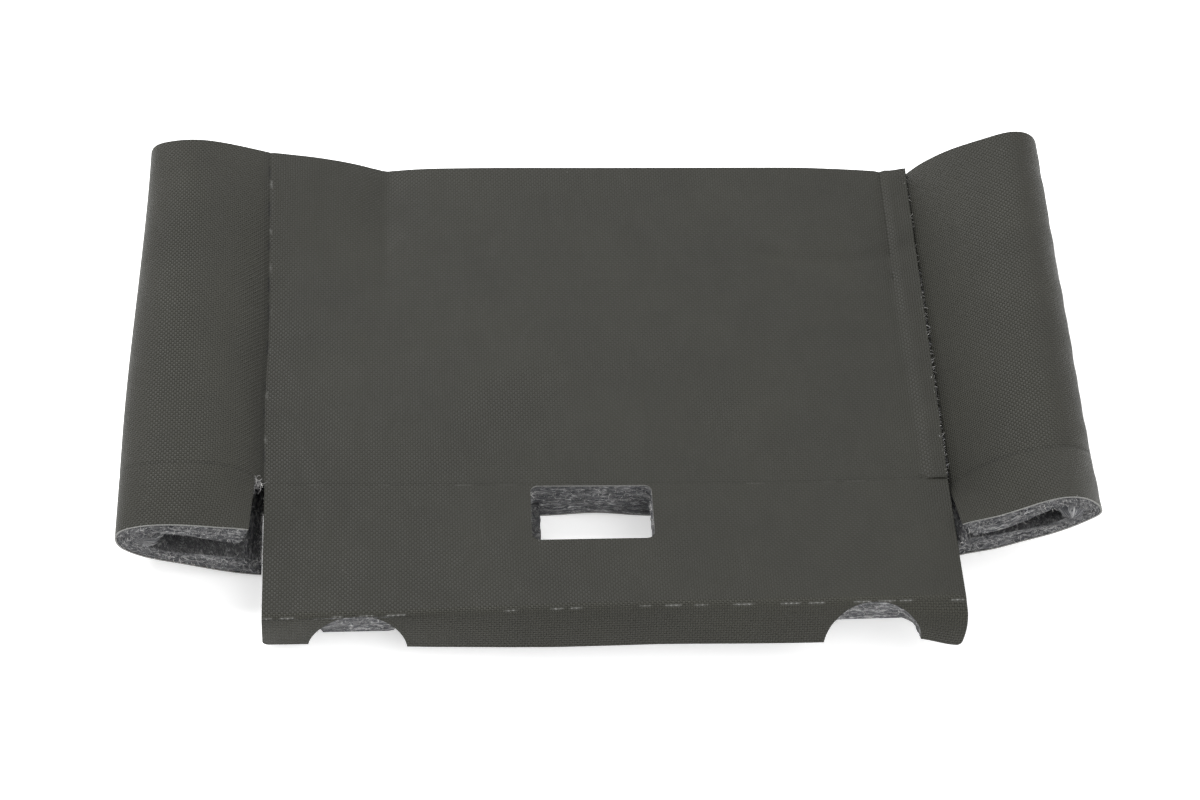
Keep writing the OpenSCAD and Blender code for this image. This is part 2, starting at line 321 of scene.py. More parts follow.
def tuck_place(x, t, d):
    tilt, _, fy, fz, slope = lid_frame(x)
    m = mitre(d, tilt, slope)
    t = m + t * (TUCK_L - m) / TUCK_L
    curl = ease((x - 62) / 42)
    bow = (0.35 + 1.5 * curl) * np.sin(np.clip(t / TUCK_L, 0, 1) * math.pi) + 0.25 * sway(x, t, 45, 12)
    d = d - bow * np.clip(t / 3, 0, 1)
    part = np.clip(t / TUCK_L, 0, 1)
    flare = curl ** 3 * (0.4 * np.sin(part * math.pi) - 1.3 * part ** 2)
    t = t * (1 - 0.07 * ease((x - 66) / 20) + 0.14 * ease((x - 89) / 14))
    return np.stack([x + flare, fy - t * np.cos(slope) + d * np.sin(slope),
                     fz - t * np.sin(slope) - d * np.cos(slope)], -1)


def fold_place(x, q, d):
    """Across the tuck fold: q below 0 is the lid, above 0 the tuck, rounded between."""
    a = lid_place(x, LID_L + np.minimum(q, 0), d)
    b = tuck_place(x, np.maximum(q, 0), d)
    p = np.where((q < 0)[..., None], a, b)
    soft = 0.42 * np.exp(-(q / 0.8) ** 2)
    p[..., 2] -= soft * 0.75
    p[..., 1] += soft * 0.6
    return p


# ---------------------------------------------------------------- mesh makers
def dense(points, step):
    out = []
    for a, b in zip(points, points[1:] + points[:1]):
        n = max(1, round(math.dist(a, b) / step))
        out += [(a[0] + (b[0] - a[0]) * k / n, a[1] + (b[1] - a[1]) * k / n) for k in range(n)]
    return out


def inside(p, loops):
    hit = np.zeros(len(p), bool)
    for loop in loops:
        q = np.array(loop)
        for (x0, y0), (x1, y1) in zip(q, np.roll(q, -1, axis=0)):
            if y0 == y1:
                continue
            crosses = (p[:, 1] > min(y0, y1)) & (p[:, 1] <= max(y0, y1))
            hit ^= crosses & (p[:, 0] < x0 + (p[:, 1] - y0) * (x1 - x0) / (y1 - y0))
    return hit


def flat_mesh(loops, step, step_v):
    pts = [p for loop in loops for p in loop]
    edges, base = [], 0
    for loop in loops:
        edges += [(base + i, base + (i + 1) % len(loop)) for i in range(len(loop))]
        base += len(loop)
    edge = np.array(pts)
    low, high = edge.min(0), edge.max(0)
    nu, nv = max(2, round((high[0] - low[0]) / step)), max(2, round((high[1] - low[1]) / step_v))
    gu, gv = np.meshgrid(np.linspace(low[0], high[0], nu + 1)[1:-1], np.linspace(low[1], high[1], nv + 1)[1:-1])
    grid = np.stack([gu.ravel(), gv.ravel()], -1)
    grid = grid[inside(grid, loops)]
    clear = np.ones(len(grid), bool)
    for k in range(0, len(edge), 64):
        gap = (grid[:, None] - edge[None, k:k + 64]) / (step, step_v)
        clear &= (np.square(gap).sum(-1) > 0.36).all(1)
    pts += [tuple(p) for p in grid[clear]]
    verts, _, faces, *_ = delaunay_2d_cdt([Vector(p) for p in pts], edges, [], 0, 1e-6)
    v = np.array([tuple(p) for p in verts])
    f = np.array(faces)
    return v, f[inside(v[f].mean(1), loops)]


def rim_loops(faces):
    used = {(a, b) for f in faces.tolist() for a, b in zip(f, f[1:] + f[:1])}
    after = {a: b for a, b in used if (b, a) not in used}
    loops = []
    while after:
        start = next(iter(after))
        loop, here = [], start
        while here in after:
            loop.append(here)
            here = after.pop(here)
        loops.append(loop)
    return loops


def finish_mesh(name, verts, faces, uvs, slots, materials, marks=None, sharp=38):
    mesh = bpy.data.meshes.new(name)
    mesh.from_pydata((np.asarray(verts) * MM).tolist(), [], faces)
    layer = mesh.uv_layers.new(name="UVMap")
    layer.data.foreach_set("uv", np.asarray(uvs, np.float32).ravel())
    mesh.polygons.foreach_set("material_index", slots)
    if marks is not None:
        mesh.attributes.new("mark", "FLOAT", "POINT").data.foreach_set("value", np.asarray(marks, np.float32))
    for m in materials:
        mesh.materials.append(m)
    bm = bmesh.new()
    bm.from_mesh(mesh)
    bmesh.ops.recalc_face_normals(bm, faces=bm.faces)
    bm.to_mesh(mesh)
    bm.free()
    mesh.shade_smooth()
    mesh.set_sharp_from_angle(angle=math.radians(sharp))
    obj = bpy.data.objects.new(name, mesh)
    bpy.context.collection.objects.link(obj)
    return obj


def panel(name, place, loops, d0, d1, step, materials, rows=1, ruffle=0.0, uv=None, mark=None, step_v=None, seed=0):
    """A closed sheet between depths d0 and d1, cut to the flat loops and laid by place()."""
    v, tri = flat_mesh([dense(l, step) if len(l) < 40 else l for l in loops], step, step_v or step)
    n = len(v)
    verts = [place(v[:, 0], v[:, 1], np.full(n, d0)), place(v[:, 0], v[:, 1], np.full(n, d1))]
    marks = None if mark is None else [mark(v[:, 0], v[:, 1])] * 2
    flat = v if uv is None else np.stack(uv(v[:, 0], v[:, 1]), -1)
    faces = tri.tolist() + (tri[:, ::-1] + n).tolist()
    uvs = [flat[tri].reshape(-1, 2), flat[tri[:, ::-1]].reshape(-1, 2)]
    slots = [0] * (2 * len(tri))
    base, travelled, rim_uv = 2 * n, 0.0, []
    for loop in rim_loops(tri):
        p = v[loop]
        k = len(loop)
        ahead, behind = np.roll(p, -1, 0), np.roll(p, 1, 0)
        along = ahead - behind
        out = np.stack([along[:, 1], -along[:, 0]], -1) / (np.linalg.norm(along, axis=1)[:, None] + 1e-9)
        run = np.concatenate([[0], np.cumsum(np.linalg.norm(ahead - p, axis=1))])
        ring = [np.array(loop)]
        for r in range(1, rows):
            d = d0 + (d1 - d0) * r / rows
            push = ruffle * (0.6 * sway(run[:-1], run[:-1] * 0 + d * 1.5, 5, seed + 20 + r % 3)
                             + 0.3 * np.random.default_rng(seed + 50 + r).normal(size=k))
            verts.append(place(p[:, 0] + out[:, 0] * push, p[:, 1] + out[:, 1] * push, np.full(k, d)))
            if marks is not None:
                marks.append(np.zeros(k))
            ring.append(base + np.arange(k))
            base += k
        ring.append(np.array(loop) + n)
        for r in range(rows):
            da, db = d0 + (d1 - d0) * r / rows, d0 + (d1 - d0) * (r + 1) / rows
            a, b = ring[r], ring[r + 1]
            a2, b2 = np.roll(a, -1), np.roll(b, -1)
            faces += np.stack([a2, a, b, b2], -1).tolist()
            s0, s1 = travelled + run[:-1], travelled + run[1:]
            low, high = np.full(k, da), np.full(k, db)
            rim_uv.append(np.stack([s1, low, s0, low, s0, high, s1, high], -1).reshape(-1, 2))
            slots += [1 if len(materials) > 1 else 0] * k
        travelled += run[-1] + 7
    return finish_mesh(name, np.concatenate(verts), faces, np.concatenate(uvs + rim_uv), slots, materials,
                       None if marks is None else np.concatenate(marks))


# ---------------------------------------------------------------- materials
def material(name):
    m = bpy.data.materials.new(name)
    m.use_nodes = True
    return m, m.node_tree.nodes, m.node_tree.links, m.node_tree.nodes["Principled BSDF"]


def node(nodes, kind, **values):
    n = nodes.new(kind)
    for key, value in values.items():
        if key in n.inputs:
            n.inputs[key].default_value = value
        else:
            setattr(n, key, value)
    return n


def maths(nodes, links, operation, *inputs):
    n = nodes.new("ShaderNodeMath")
    n.operation = operation
    for i, value in enumerate(inputs):
        if isinstance(value, (int, float)):
            n.inputs[i].default_value = value
        else:
            links.new(value, n.inputs[i])
    return n.outputs[0]


def mixed(nodes, links, factor, a, b, blend="MIX"):
    n = nodes.new("ShaderNodeMix")
    n.data_type, n.blend_type = "RGBA", blend
    for socket, value in ((n.inputs[0], factor), (n.inputs[6], a), (n.inputs[7], b)):
        if isinstance(value, (int, float)):
            socket.default_value = value
        elif isinstance(value, tuple):
            socket.default_value = (*value, 1)
        else:
            links.new(value, socket)
    return n.outputs[2]


def ramp(nodes, links, source, *stops):
    n = nodes.new("ShaderNodeValToRGB")
    while len(n.color_ramp.elements) < len(stops):
        n.color_ramp.elements.new(0.5)
    for e, (where, colour) in zip(n.color_ramp.elements, stops):
        e.position, e.color = where, (*colour, 1) if isinstance(colour, tuple) else (colour, colour, colour, 1)
    links.new(source, n.inputs[0])
    return n.outputs[0]


def noise(nodes, links, where, scale, detail=3, rough=0.55, squeeze=(1, 1, 1), distortion=0.0):
    m = nodes.new("ShaderNodeMapping")
    m.inputs["Scale"].default_value = squeeze
    links.new(where, m.inputs["Vector"])
    n = nodes.new("ShaderNodeTexNoise")
    for key, value in (("Scale", scale), ("Detail", detail), ("Roughness", rough), ("Distortion", distortion)):
        n.inputs[key].default_value = value
    links.new(m.outputs[0], n.inputs["Vector"])
    return n.outputs["Fac"]


THREAD = 0.77                        # thread pitch of the plain weave, mm


def fabric(name, tint, relief=0.00014, gap_shade_level=0.45):
    m, nodes, links, shade = material(name)
    uv = nodes.new("ShaderNodeUVMap").outputs[0]
    split = nodes.new("ShaderNodeSeparateXYZ")
    wobble = nodes.new("ShaderNodeVectorMath")
    wobble.operation = "MULTIPLY_ADD"
    n = nodes.new("ShaderNodeTexNoise")
    n.inputs["Scale"].default_value = 0.25
    links.new(uv, n.inputs["Vector"])
    links.new(n.outputs["Color"], wobble.inputs[0])
    wobble.inputs[1].default_value = (0.5, 0.5, 0)
    links.new(uv, wobble.inputs[2])
    links.new(wobble.outputs[0], split.inputs[0])
    a = maths(nodes, links, "SINE", maths(nodes, links, "MULTIPLY", split.outputs[0], math.pi / THREAD))
    b = maths(nodes, links, "SINE", maths(nodes, links, "MULTIPLY", split.outputs[1], math.pi / THREAD))
    cell = maths(nodes, links, "MULTIPLY", a, b)
    height = maths(nodes, links, "POWER", maths(nodes, links, "ABSOLUTE", cell), 0.6)
    over = maths(nodes, links, "MULTIPLY_ADD", cell, 0.5, 0.5)
    broad = noise(nodes, links, uv, 0.03, 4, 0.6)
    grain = noise(nodes, links, uv, 1.9, 2, 0.6)
    scuff = noise(nodes, links, uv, 0.12, 5, 0.7, (1, 0.45, 1), 1.2)
    # painted light: over and under thread cells are tinted 8 % darker and lighter for how light falls on them
    base = mixed(nodes, links, over, tuple(c * 0.92 for c in tint), tuple(c * 1.08 for c in tint))
    # painted shade: the gaps between threads are darkened towards 0.42 of the tint; the lower gap_shade_level, the
    # darker the gaps
    base = mixed(nodes, links, ramp(nodes, links, height, (0.0, gap_shade_level), (0.6, 1.0)), tuple(c * 0.42 for c in tint), base)
    lively = ramp(nodes, links, broad, (0.25, 0.82), (0.75, 1.14))
    base = mixed(nodes, links, 1.0, base, lively, "MULTIPLY")
    worn = ramp(nodes, links, scuff, (0.60, 0.0), (0.80, 0.22))
    base = mixed(nodes, links, worn, base, tuple(c * 1.9 for c in tint))
    mark = node(nodes, "ShaderNodeAttribute", attribute_name="mark").outputs["Fac"]
    speck = maths(nodes, links, "MULTIPLY", ramp(nodes, links, grain, (0.34, 0.25), (0.62, 1.0)),
                  ramp(nodes, links, over, (0.35, 0.25), (0.7, 1.0)))
    light = maths(nodes, links, "MULTIPLY", maths(nodes, links, "MAXIMUM", mark, 0.0), speck)
    # painted shade: where mark is negative, crease_shade mixes the fabric towards near black (0.004) along creases and
    # perforation slits; positive marks are light worn flecks
    crease_shade = maths(nodes, links, "MULTIPLY", maths(nodes, links, "MINIMUM", mark, 0.0), -1.0)
    base = mixed(nodes, links, light, base, (0.42, 0.42, 0.41))
    base = mixed(nodes, links, crease_shade, base, (0.004, 0.004, 0.004))
    links.new(base, shade.inputs["Base Color"])
    rough = ramp(nodes, links, scuff, (0.3, 0.52), (0.8, 0.66))
    links.new(rough, shade.inputs["Roughness"])
    shade.inputs["Specular IOR Level"].default_value = 0.26
    shade.inputs["Sheen Weight"].default_value = 0.04
    bump = node(nodes, "ShaderNodeBump", Strength=1.0, Distance=relief)
    total = maths(nodes, links, "MULTIPLY_ADD", grain, 0.25, maths(nodes, links, "MULTIPLY_ADD", over, 1.1, height))
    links.new(total, bump.inputs["Height"])
    links.new(bump.outputs[0], shade.inputs["Normal"])
    return m


def felt(name, cut):
    """Needled felt of mixed waste fibre; a cut face shows it in streaks along the sheet."""
    m, nodes, links, shade = material(name)
    uv = nodes.new("ShaderNodeUVMap").outputs[0]
    stretch = (0.28, 1.5, 1) if cut else (1, 1, 1)
    streak = noise(nodes, links, uv, 0.62, 4, 0.6, stretch, 0.8)
    strand = noise(nodes, links, uv, 1.25, 3, 0.55, (0.28, 1.5, 1) if cut else (1, 0.6, 1), 1.4)
    tangle = noise(nodes, links, uv, 2.6, 3, 0.6, (0.4, 1.2, 1) if cut else (0.7, 1, 1), 2.0)
    cloud = noise(nodes, links, uv, 0.2, 3, 0.6)
    base = ramp(nodes, links, streak, (0.34, (0.008, 0.009, 0.013)), (0.46, (0.035, 0.037, 0.045)),
                (0.55, (0.10, 0.101, 0.106)), (0.70, (0.46, 0.46, 0.455)))
    base = mixed(nodes, links, ramp(nodes, links, strand, (0.55, 0.0), (0.63, 0.8)), base, (0.60, 0.60, 0.595))
    base = mixed(nodes, links, ramp(nodes, links, tangle, (0.38, 0.85), (0.47, 0.0)), base, (0.007, 0.008, 0.016))
    shadow = (0.6, 1.35) if cut else (0.3, 0.7)
    base = mixed(nodes, links, 1.0, base, ramp(nodes, links, cloud, (0.3, shadow[0]), (0.7, shadow[1])), "MULTIPLY")
    links.new(base, shade.inputs["Base Color"])
    shade.inputs["Roughness"].default_value = 0.95
    shade.inputs["Specular IOR Level"].default_value = 0.12
    shade.inputs["Sheen Weight"].default_value = 0.25
    shade.inputs["Sheen Roughness"].default_value = 0.6
    bump = node(nodes, "ShaderNodeBump", Strength=1.0, Distance=0.0009)
    links.new(maths(nodes, links, "ADD", maths(nodes, links, "ADD", streak, strand), tangle), bump.inputs["Height"])
    links.new(bump.outputs[0], shade.inputs["Normal"])
    return m


def fibre(name):
    m, nodes, links, shade = material(name)
    tone = node(nodes, "ShaderNodeAttribute", attribute_name="mark").outputs["Fac"]
    uv = nodes.new("ShaderNodeUVMap").outputs[0]
    along = noise(nodes, links, uv, 3.0, 2)
    base = ramp(nodes, links, tone, (0.0, (0.02, 0.022, 0.04)), (0.35, (0.10, 0.10, 0.11)),
                (0.6, (0.42, 0.41, 0.40)), (1.0, (0.82, 0.81, 0.79)))
    base = mixed(nodes, links, 1.0, base, ramp(nodes, links, along, (0.2, 0.75), (0.8, 1.1)), "MULTIPLY")
    links.new(base, shade.inputs["Base Color"])
    shade.inputs["Roughness"].default_value = 0.8
    shade.inputs["Sheen Weight"].default_value = 0.2
    return m


def glue(name):
    """Dried contact glue: amber, uneven, a little glossy."""
    m, nodes, links, shade = material(name)
    uv = nodes.new("ShaderNodeUVMap").outputs[0]
    patch = noise(nodes, links, uv, 0.3, 5, 0.6, distortion=1.0)
    amber = ramp(nodes, links, patch, (0.3, (0.30, 0.22, 0.11)), (0.7, (0.52, 0.43, 0.27)))
    links.new(amber, shade.inputs["Base Color"])
    links.new(ramp(nodes, links, patch, (0.3, 0.25), (0.7, 0.5)), shade.inputs["Roughness"])
    bump = node(nodes, "ShaderNodeBump", Strength=0.5, Distance=0.0002)
    links.new(patch, bump.inputs["Height"])
    links.new(bump.outputs[0], shade.inputs["Normal"])
    return m


OLIVE = (0.0178, 0.0176, 0.0130)
skin_mat = fabric("coated_weave", OLIVE)
# painted light: the sloped side walls and the tuck get brighter copies of the same coated weave, with deeper painted
# shade in the thread gaps, for how light falls on those faces
side_painted_light_mat = fabric("coated_weave_side_painted_light", (0.0226, 0.0222, 0.0164), 0.00024, 0.36)
tuck_painted_light_mat = fabric("coated_weave_tuck_painted_light", (0.0290, 0.0286, 0.0212), 0.00032, 0.0)
rim_mat = fabric("coated_weave_cut", (0.21, 0.21, 0.20))
felt_mat, felt_cut = felt("felt_face", False), felt("felt_cut", True)
fibre_mat = fibre("felt_fibre")
glue_mat = glue("dried_glue")
SKINS, SIDE_PAINTED_LIGHT_SKINS, TUCK_PAINTED_LIGHT_SKINS = [skin_mat, rim_mat], [side_painted_light_mat, rim_mat], [tuck_painted_light_mat, rim_mat]
FELTS = [felt_mat, felt_cut]


# ---------------------------------------------------------------- flat cuts
def rect(x0, x1, y0, y1):
    return [(x0, y0), (x1, y0), (x1, y1), (x0, y1)]


def arc(cx, cy, r, a0, a1, n):
    angles = [math.radians(a0 + (a1 - a0) * k / n) for k in range(n + 1)]
    return [(cx + r * math.cos(a), cy + r * math.sin(a)) for a in angles]


def round_rect(x0, x1, y0, y1, r, n=7):
    return (arc(x1 - r, y1 - r, r, 0, 90, n) + arc(x0 + r, y1 - r, r, 90, 180, n)
            + arc(x0 + r, y0 + r, r, 180, 270, n) + arc(x1 - r, y0 + r, r, 270, 360, n))


def notch_angle(q):
    """Half the angle of a finger notch's circle at q below the fold, degrees."""
    return math.degrees(math.acos(min(1.0, (NOTCH_R - q) / NOTCH_R)))


def fold_cut(q0, q1):
    """The fabric at the fold, from q0 to q1 below it, with the notches bitten out of the q1 edge."""
    edge, half = HALF_W - 0.3, notch_angle(q1)
    bites = [p for c in sorted(NOTCH_X, reverse=True) for p in arc(c, NOTCH_R, NOTCH_R, -90 + half, -90 - half, 26)]
    return [dense([(-edge, q0), (edge, q0), (edge, q1)] + bites + [(-edge, q1)], 0.9)]


def tuck_cut(q0, q1, inset):
    """The tuck from q0 to q1 below the fold: the notches part it into three tongues."""
    edge, loops = HALF_W - inset, []
    a0, a1 = notch_angle(q0), notch_angle(q1)
    sides = [None] + [c for c in NOTCH_X] + [None]
    for left, right in zip(sides, sides[1:]):
        loop = [(-edge, q0)] if left is None else arc(left, NOTCH_R, NOTCH_R, -90 + a1, -90 + a0, 16)
        if right is None:
            r = TUCK_CORNER[1]
            loop += [(edge, q0)] + arc(edge - r, q1 - r, r, 0, 90, 8)
        else:
            loop += arc(right, NOTCH_R, NOTCH_R, -90 - a0, -90 - a1, 16)
        if left is None:
            r = TUCK_CORNER[-1]
            loop += arc(-edge + r, q1 - r, r, 90, 180, 6)
        loops.append(dense(loop, 0.9))
    return loops


def dashes(v, pitch, length, seed, drop=0.0):
    r = np.random.default_rng(seed)
    out = np.zeros_like(v)
    at = v.min() - pitch
    while at < v.max() + pitch:
        if r.uniform() > drop:
            half = length * r.uniform(0.6, 1.25) / 2
            out = np.maximum(out, r.uniform(0.5, 1.0) * ease((half - np.abs(v - at) + 0.4) / 0.6))
        at += pitch * r.uniform(0.75, 1.25)
    return out


window_loop = round_rect(*WINDOW, WINDOW_R)
SIDES = {"left": -1, "right": 1}
made = {}


def skin(name, body, place, loops, flat, area, step=1.8, uv=None, mats=SKINS):
    piece = panel(name, place, loops, 0.0, SKIN, step, mats, uv=uv)
    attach(piece, body)
    made[name] = (piece, flat, area)
    return piece


def padding(name, body, place, loops, step=2.0, rows=9, ruffle=0.45, uv=None, seed=0):
    piece = panel(name, place, loops, SKIN, PAD, step, FELTS, rows=rows, ruffle=ruffle, uv=uv, seed=seed)
    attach(piece, body)
    return piece


strips = {}


def bend(name, place, loops, owner, mark=None, uv=None, step=1.0, step_v=None, mats=SKINS):
    piece = panel(name, place, loops, 0.0, SKIN, step, mats, mark=mark, uv=uv, step_v=step_v)
    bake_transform(piece)
    strips.setdefault(owner, []).append(piece)
    return piece


# ---------------------------------------------------------------- broad walls
wall_l = BACK_Y - CREASE_Y
tab_in = {"left": float(box_mm("left_tab_skin")[1][0]),       # the tabs' edges at the notch between them
          "right": float(box_mm("right_tab_skin")[0][0])}
tab_front = float(box_mm("left_tab_skin")[0][1])
back_loop = [(-HALF_W + STRIP, CREASE_Y + STRIP), (tab_in["left"], CREASE_Y + STRIP),
             (tab_in["left"], CREASE_Y + 0.3), (tab_in["right"], CREASE_Y + 0.3),
             (tab_in["right"], CREASE_Y + STRIP), (HALF_W - STRIP, CREASE_Y + STRIP),
             (HALF_W - STRIP, BACK_Y), (-HALF_W + STRIP, BACK_Y)]
skin("front_wall_cover", "front_wall", front_place, [rect(-HALF_W + STRIP, HALF_W - 0.3, CREASE_Y + STRIP, BACK_Y)],
     (2 * HALF_W, wall_l), None, step=1.7)
padding("front_wall_pad", "front_wall", front_pad_place,
        [rect(-HALF_W + 0.4, HALF_W - 1.0, CREASE_Y + 0.3, BACK_Y - 0.2)], seed=1)
skin("back_wall_cover", "back_wall", back_place, [back_loop],
     (2 * HALF_W, wall_l), None, step=2.4)
padding("back_wall_pad", "back_wall", back_pad_place,
        [rect(-HALF_W + 0.4, HALF_W - 0.4, CREASE_Y + 0.3, BACK_Y - 0.2)], seed=2)

# ---------------------------------------------------------------- lid and tuck
skin("lid_cover", "lid", lid_place, [rect(-HALF_W + 0.3, HALF_W - 0.3, LID_STRIP, LID_L - STRIP), window_loop],
     (2 * HALF_W, LID_L), 2 * HALF_W * LID_L - 740, step=1.5, uv=lambda x, l: (x, CREASE_Y - l))
padding("lid_pad", "lid", lid_place, [rect(-HALF_W + 0.7, HALF_W - 0.7, 0.08, LID_L - 0.1), window_loop],
        step=1.6, rows=11, seed=3)
skin("tuck_cover", "tuck", tuck_place, tuck_cut(STRIP, TUCK_L, 0.3), (2 * HALF_W, TUCK_L), 2100, step=1.0,
     uv=lambda x, q: (x, CREASE_Y - LID_L - q), mats=TUCK_PAINTED_LIGHT_SKINS)
padding("tuck_pad", "tuck", tuck_place, tuck_cut(0.5, TUCK_L - 0.15, 0.6), step=1.2, rows=10, seed=4)

# ---------------------------------------------------------------- side walls and dust flaps
flap_y = CREASE_Y - FLAP_L
for side, way in SIDES.items():
    for half in ("upper", "lower"):
        place = (lambda s, h: lambda u, y, d: wing_place(s, h, u, y, d))(side, half)
        length, slot_w = WING_L[side, half], SLOT[f"{side}_{half}"]
        other = WING_L[side, "upper"] + length
        uv = (lambda w, h, o: lambda u, y: (w * (HALF_W + (u if h == "upper" else o - u)), y))(way, half, other)
        body, seed = f"{side}_{half}", 10 + 2 * (half == "upper") + (side == "left")
        inner = (lambda s, h: lambda u, y, d: wing_pad_place(s, h, u, y, d))(side, half)
        begin = START[body]
        skin(f"{body}_cover", body, place, [rect(begin, length - STRIP, CREASE_Y + STRIP, BACK_Y)],
             (length, wall_l), None, step=1.5, uv=uv, mats=SIDE_PAINTED_LIGHT_SKINS)
        padding(f"{body}_pad", body, inner, [rect(max(0.5, begin - 3), length - 0.2, CREASE_Y + 0.3, BACK_Y - 0.2)],
                step=1.7, seed=seed, uv=uv)
        flap = f"{body}_dust"
        skin(f"{flap}_cover", flap, place, [rect(slot_w, length - 0.2, flap_y, CREASE_Y - STRIP)],
             (length - slot_w, FLAP_L), None, step=1.1, uv=uv, mats=SIDE_PAINTED_LIGHT_SKINS)
        padding(f"{flap}_pad", flap, inner if half == "lower" else place,
                [rect(slot_w + 0.2, length - 0.3, flap_y + 0.2, CREASE_Y - 0.3)],
                step=0.9, rows=13, ruffle=0.7, seed=seed + 5, uv=uv)
        # painted shade: dark dashes along each dust flap's crease
        hinge_shade = (lambda k: lambda u, y: -0.35 * dent(y - CREASE_Y, 0.5) * dashes(u, 5, 4, k))(seed)
        corner = [(begin, CREASE_Y + 0.3), (slot_w, CREASE_Y + 0.3 * (slot_w > begin))]
        hinge = [(slot_w, CREASE_Y - STRIP), (length - 0.2, CREASE_Y - STRIP), (length - 0.2, CREASE_Y + STRIP),
                 (begin, CREASE_Y + STRIP)] + corner
        bend(f"{flap}_bend", place, [hinge],
             f"{flap}_cover",
             mark=hinge_shade, uv=uv, step=0.8, step_v=0.5, mats=SIDE_PAINTED_LIGHT_SKINS)

for side, way in SIDES.items():
    low, up = WING_L[side, "lower"], WING_L[side, "upper"]

    def tip_place(q, y, d, side=side, low=low, up=up):
        a = wing_place(side, "lower", low + np.minimum(q, 0), y, d)
        b = wing_place(side, "upper", up - np.maximum(q, 0), y, d)
        return np.where((q < 0)[..., None], a, b)

    def base_place(q, y, d, side=side, way=way):
        a = wing_place(side, "lower", np.maximum(-q, 0), y, d)
        b = back_place(way * (HALF_W - np.maximum(q, 0)), y, d)
        return np.where((q < 0)[..., None], a, b)

    across = lambda q, y, way=way, up=up: (way * (HALF_W + up - q), y)
    loop = [rect(-STRIP, STRIP, CREASE_Y + STRIP, BACK_Y)]
    if side == "left":
        bend("left_middle_bend", tip_place, loop,
             "left_upper_cover",
             uv=across, step=0.7, step_v=1.4, mats=SIDE_PAINTED_LIGHT_SKINS)
    else:
        piece = panel("right_middle_bend", tip_place, loop, 0.0, SKIN, 0.7, SIDE_PAINTED_LIGHT_SKINS, uv=across, step_v=1.4)
        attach(piece, "right_upper")
        strips.setdefault("right_upper_cover", []).append(piece)
    bend(f"{side}_back_bend", base_place, [rect(-STRIP, STRIP, CREASE_Y + 0.3, BACK_Y)],
         "back_wall_cover", step=0.8, step_v=1.6)


def left_crease_place(q, y, d):
    a = wing_place("left", "upper", np.maximum(-q, 0), y, d)
    b = front_place(-HALF_W + np.maximum(q, 0), y, d)
    return np.where((q < 0)[..., None], a, b)


def seam_place(q, y, d):
    a = wing_place("right", "upper", np.maximum(q, 0), y, d)
    a[..., 0] += np.minimum(q, 0)
    a[..., 2] += 0.2 * np.minimum(q, 0)
    return a


def perforation_shade_and_wear(q, y):
    # painted shade: near-black dashes on the crease where the perforation slits are; the light dashes beside it are
    # worn flecks
    slit_shade = -dashes(y, 13, 5, 31) * np.exp(-((q + 0.1) / 0.42) ** 2)
    return slit_shade + 0.4 * dashes(y, 17, 2, 32) * np.exp(-((q - 0.5) / 0.3) ** 2)


bend("left_front_bend", left_crease_place, [rect(-STRIP, STRIP, CREASE_Y + 0.3, BACK_Y)],
     "front_wall_cover", mark=perforation_shade_and_wear,
     uv=lambda q, y: (q - HALF_W, y), step=0.4, step_v=0.9)
bend("seam_bend", seam_place, [rect(-1.0, START["right_upper"], CREASE_Y + 0.3, BACK_Y)],
     "right_upper_cover",
     uv=lambda q, y: (q + HALF_W, y), step=0.6, step_v=1.5, mats=SIDE_PAINTED_LIGHT_SKINS)


def lid_crease_place(x, q, d):
    a = lid_place(x, np.maximum(-q, 0), d)
    b = front_place(x, CREASE_Y + np.maximum(q, 0), d)
    return np.where((q < 0)[..., None], a, b)


def lid_flecks(x, q):
    # painted shade: faint dark dashes right on the lid crease; the light dashes just beside it are worn flecks
    crease_shade = dashes(x, 9, 3.5, 41, 0.25) * np.exp(-(q / 0.3) ** 2) * 0.2
    light = 0.45 * dashes(x, 11, 6, 42, 0.5) * np.exp(-((q + 0.3) / 0.25) ** 2)
    return light - crease_shade


def fold_flecks(x, q):
    light = 0.75 * dashes(x, 7, 4.5, 43, 0.4) * np.exp(-((q + 0.15) / 0.28) ** 2)
    return light


bend("lid_bend", lid_crease_place, [rect(-HALF_W + 0.3, HALF_W - 0.3, -LID_STRIP, STRIP)],
     "lid_cover", mark=lid_flecks,
     uv=lambda x, q: (x, CREASE_Y + q), step=0.8, step_v=0.4)
fold_y = float(lid_frame(np.zeros(1))[2][0])
bend("tuck_bend", fold_place, fold_cut(-STRIP, STRIP),
     "tuck_cover", mark=fold_flecks,
     uv=lambda x, q: (x, CREASE_Y - LID_L - q), step=0.8, step_v=0.4, mats=TUCK_PAINTED_LIGHT_SKINS)

# ---------------------------------------------------------------- end tabs of the back wall
for side, way in SIDES.items():
    tab_low, tab_high = box_mm(f"{side}_tab_skin")
    x0, x1 = float(tab_low[0]), float(tab_high[0])
    skin(f"{side}_tab_cover", f"{side}_tab", back_place, [rect(x0, x1, tab_front, CREASE_Y - STRIP)],
         (x1 - x0, CREASE_Y - tab_front), None, step=2.0)
    padding(f"{side}_tab_pad", f"{side}_tab", back_place, [rect(x0 + 0.2, x1 - 0.2, tab_front + 0.2, CREASE_Y - 0.3)],
            step=2.0, seed=31 + way)
    a, b = sorted((tab_in[side], way * (HALF_W - STRIP)))
    bend(f"{side}_tab_bend", back_place, [rect(a, b, CREASE_Y - STRIP, CREASE_Y + STRIP)],
         "back_wall_cover", step=1.0, step_v=0.6)

# ---------------------------------------------------------------- glued lap of the seam
lap = panel("seam_lap_strip", front_place, [rect(LAP[0], LAP[1], CREASE_Y + 0.5, BACK_Y - 0.3)],
            SKIN + LAP_D + 0.25, PAD + 0.45, 2.0, FELTS, rows=3, ruffle=0.2, seed=60)
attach(lap, "front_wall")
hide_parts("seam_lap")


